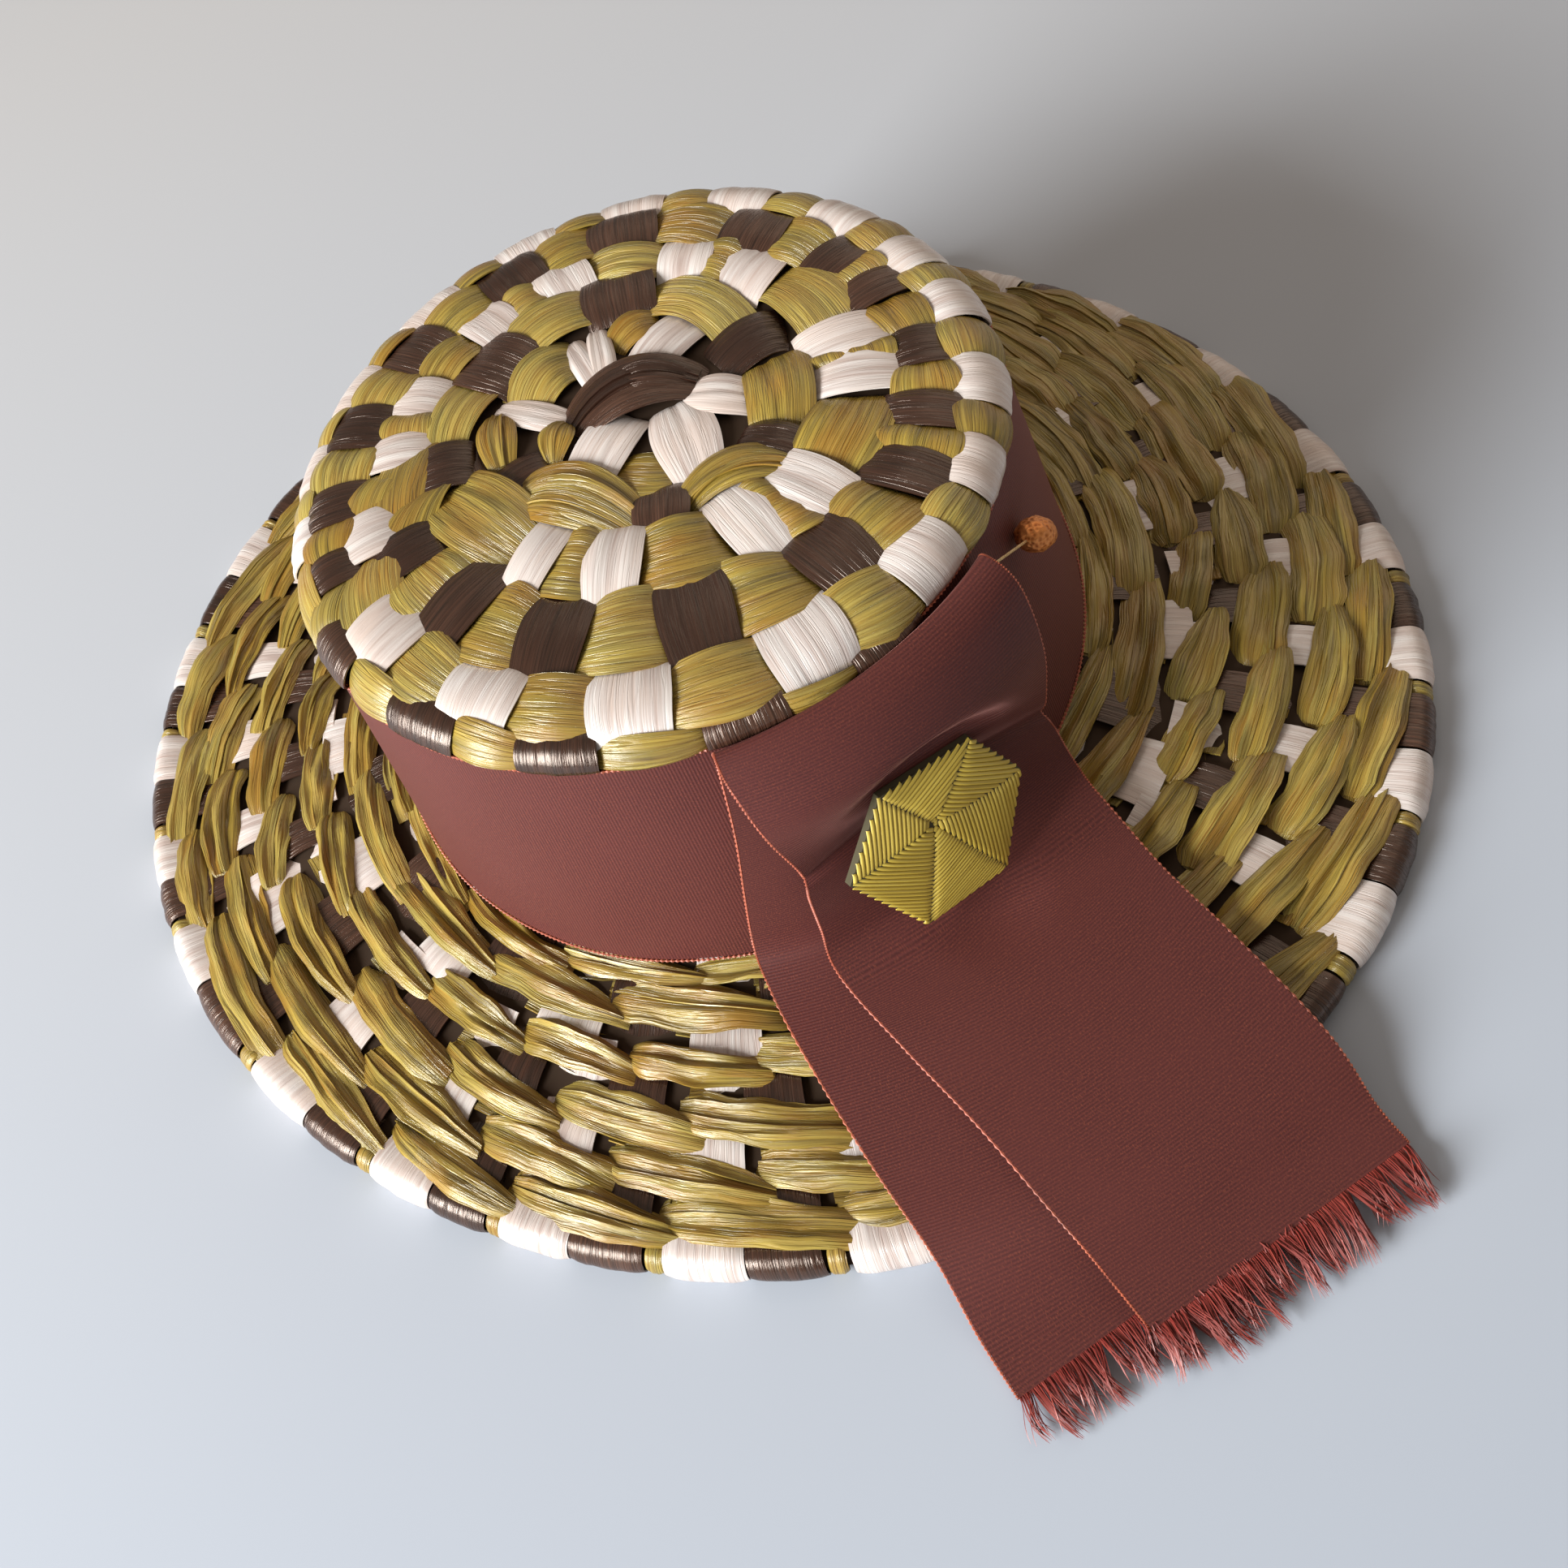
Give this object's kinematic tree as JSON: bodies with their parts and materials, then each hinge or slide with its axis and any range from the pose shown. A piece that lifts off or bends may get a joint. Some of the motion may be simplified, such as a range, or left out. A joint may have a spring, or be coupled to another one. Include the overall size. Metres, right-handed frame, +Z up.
{
  "type": "boater hat",
  "caption": "Boater hat woven from raffia strips, with a twined brim, a grosgrain ribbon band and a buttoned, fringed ribbon bow.",
  "frame": {"origin": "on the surface that the rim rests on, under the middle of the head opening", "axes": "+Z is up along the crown; the bow's tails hang over the brim towards -Y"},
  "size_m": [0.3425, 0.3882, 0.1063],
  "materials": {
    "raffia_crown": "dyed raffia strips, silky, olive with white and dark brown",
    "raffia_brim": "dyed raffia, creased, olive stitches over white and dark brown spokes",
    "ribbon_band": "maroon grosgrain, ribbed, rust edge",
    "ribbon_bow": "maroon grosgrain, ribbed, rust edge, fringed ends",
    "grosgrain_button": "olive green grosgrain, folded in six sectors",
    "copper_bead": "crumpled, satin",
    "brass_shank": "bright drawn wire"
  },
  "bodies": {
    "root": {"crown": "raffia_crown", "brim": "raffia_brim", "band": "ribbon_band", "ribbon_bow": "ribbon_bow", "button": "grosgrain_button", "pin_head": "copper_bead", "pin_shank": "brass_shank"}
  },
  "joints": []
}
